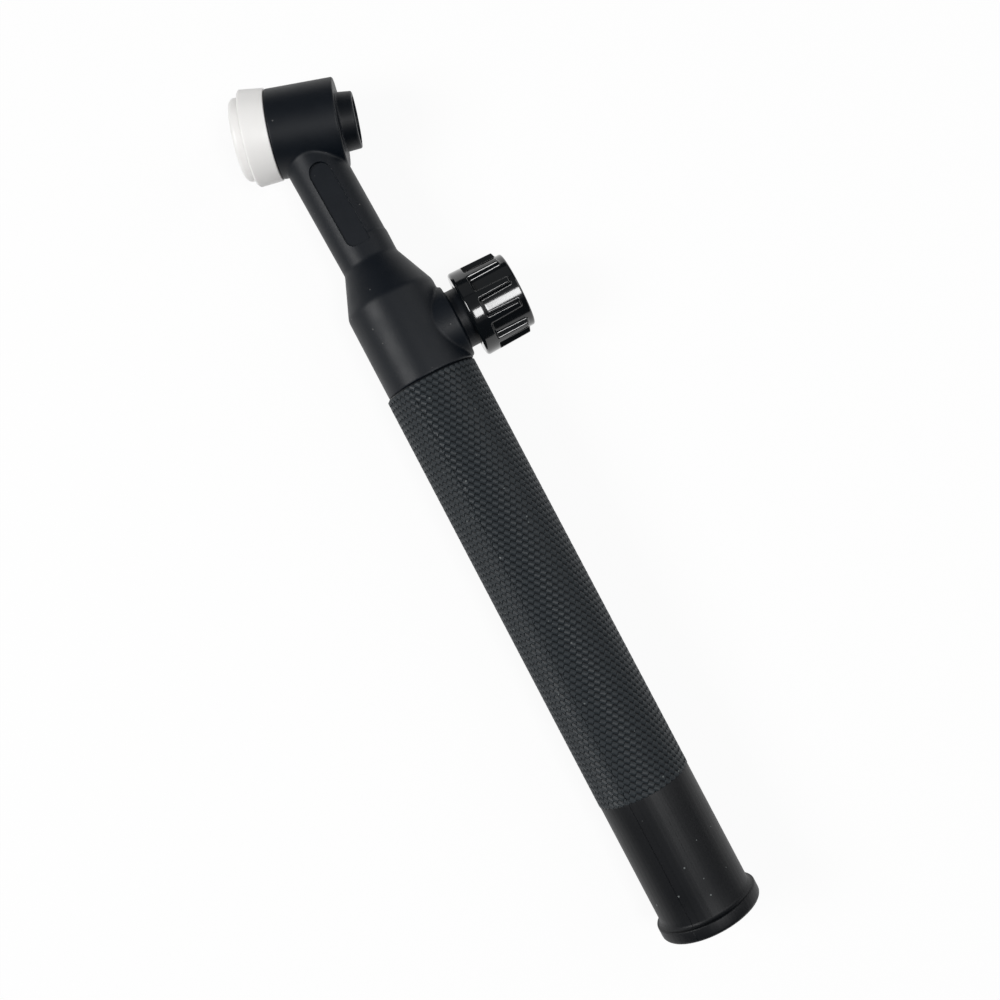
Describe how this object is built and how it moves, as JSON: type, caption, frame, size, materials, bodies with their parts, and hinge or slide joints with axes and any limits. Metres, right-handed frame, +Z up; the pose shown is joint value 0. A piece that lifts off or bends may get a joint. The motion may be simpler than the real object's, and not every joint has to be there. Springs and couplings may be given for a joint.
{
  "type": "tig torch",
  "caption": "Air-cooled welding torch body: knurled hollow handle, rubber-covered flexible neck, angled head with a white cup gasket, and a gas valve with a ribbed knob.",
  "frame": {"origin": "bottom centre of the torch's box: on the surface that it lies on, below the middle of its length and width", "axes": "+X along the handle towards the head, +Y the side that the nozzle points to, the valve knob on the -Y side, +Z up from the surface that it lies on"},
  "size_m": [0.2053, 0.041, 0.0234],
  "materials": {
    "handle_plastic": "diamond-knurled dark grey moulded plastic, smooth behind the grip",
    "moulding_rubber": "satin blue-black moulded rubber",
    "brass": "machined brass, dull",
    "copper": "drawn copper, slightly dull",
    "braid_copper": "woven bare copper wire",
    "gasket_white": "white fluoroplastic, smooth and slightly waxy",
    "seal_rubber": "black sealing rubber",
    "knob_plastic": "glossy black moulded plastic",
    "screw_steel": "bright zinc-plated steel"
  },
  "bodies": {
    "root": {"handle": "handle_plastic", "shoulder_jacket": "moulding_rubber", "valve_body": "brass", "gland_nut": "brass", "power_tube": "copper", "cable_fitting": "brass", "rear_ferrule": "brass"},
    "neck": {"neck_sleeve": "moulding_rubber", "flex_tube": "copper", "copper_braid": "braid_copper"},
    "head": {"front_ferrule": "brass", "head_body": "brass", "head_jacket": "moulding_rubber", "cup_gasket": "gasket_white"},
    "valve_seal": {"seat_o_ring": "seal_rubber", "gland_o_ring": "seal_rubber"},
    "valve_knob": {"valve_stem": "brass", "knob": "knob_plastic", "knob_screw": "screw_steel", "knob_cap": "knob_plastic"}
  },
  "joints": [
    {"name": "neck_bend", "type": "hinge", "parent": "root", "child": "neck", "pos_m": [0.06182, 0.00523, 0.0117], "axis": [0, 0, 1], "range_deg": [-30, 30], "deforming": ["neck_sleeve", "flex_tube", "copper_braid"]},
    {"name": "neck_swing", "type": "hinge", "parent": "neck", "child": "head", "pos_m": [0.07217, 0.0055, 0.0117], "axis": [0, 0, 1], "range_deg": [-30, 30]},
    {"name": "valve_lift", "type": "slide", "parent": "root", "child": "valve_seal", "axis": [0, -1, 0], "range_m": [0, 0.00161]},
    {"name": "knob_turn", "type": "hinge", "parent": "valve_seal", "child": "valve_knob", "pos_m": [0.03705, -0.01456, 0.0117], "axis": [0, -1, 0], "range_deg": [0, 720]}
  ],
  "couplings": [
    {"joint": "valve_lift", "follows": "knob_turn", "m_per_rad": 0.00012732}
  ]
}
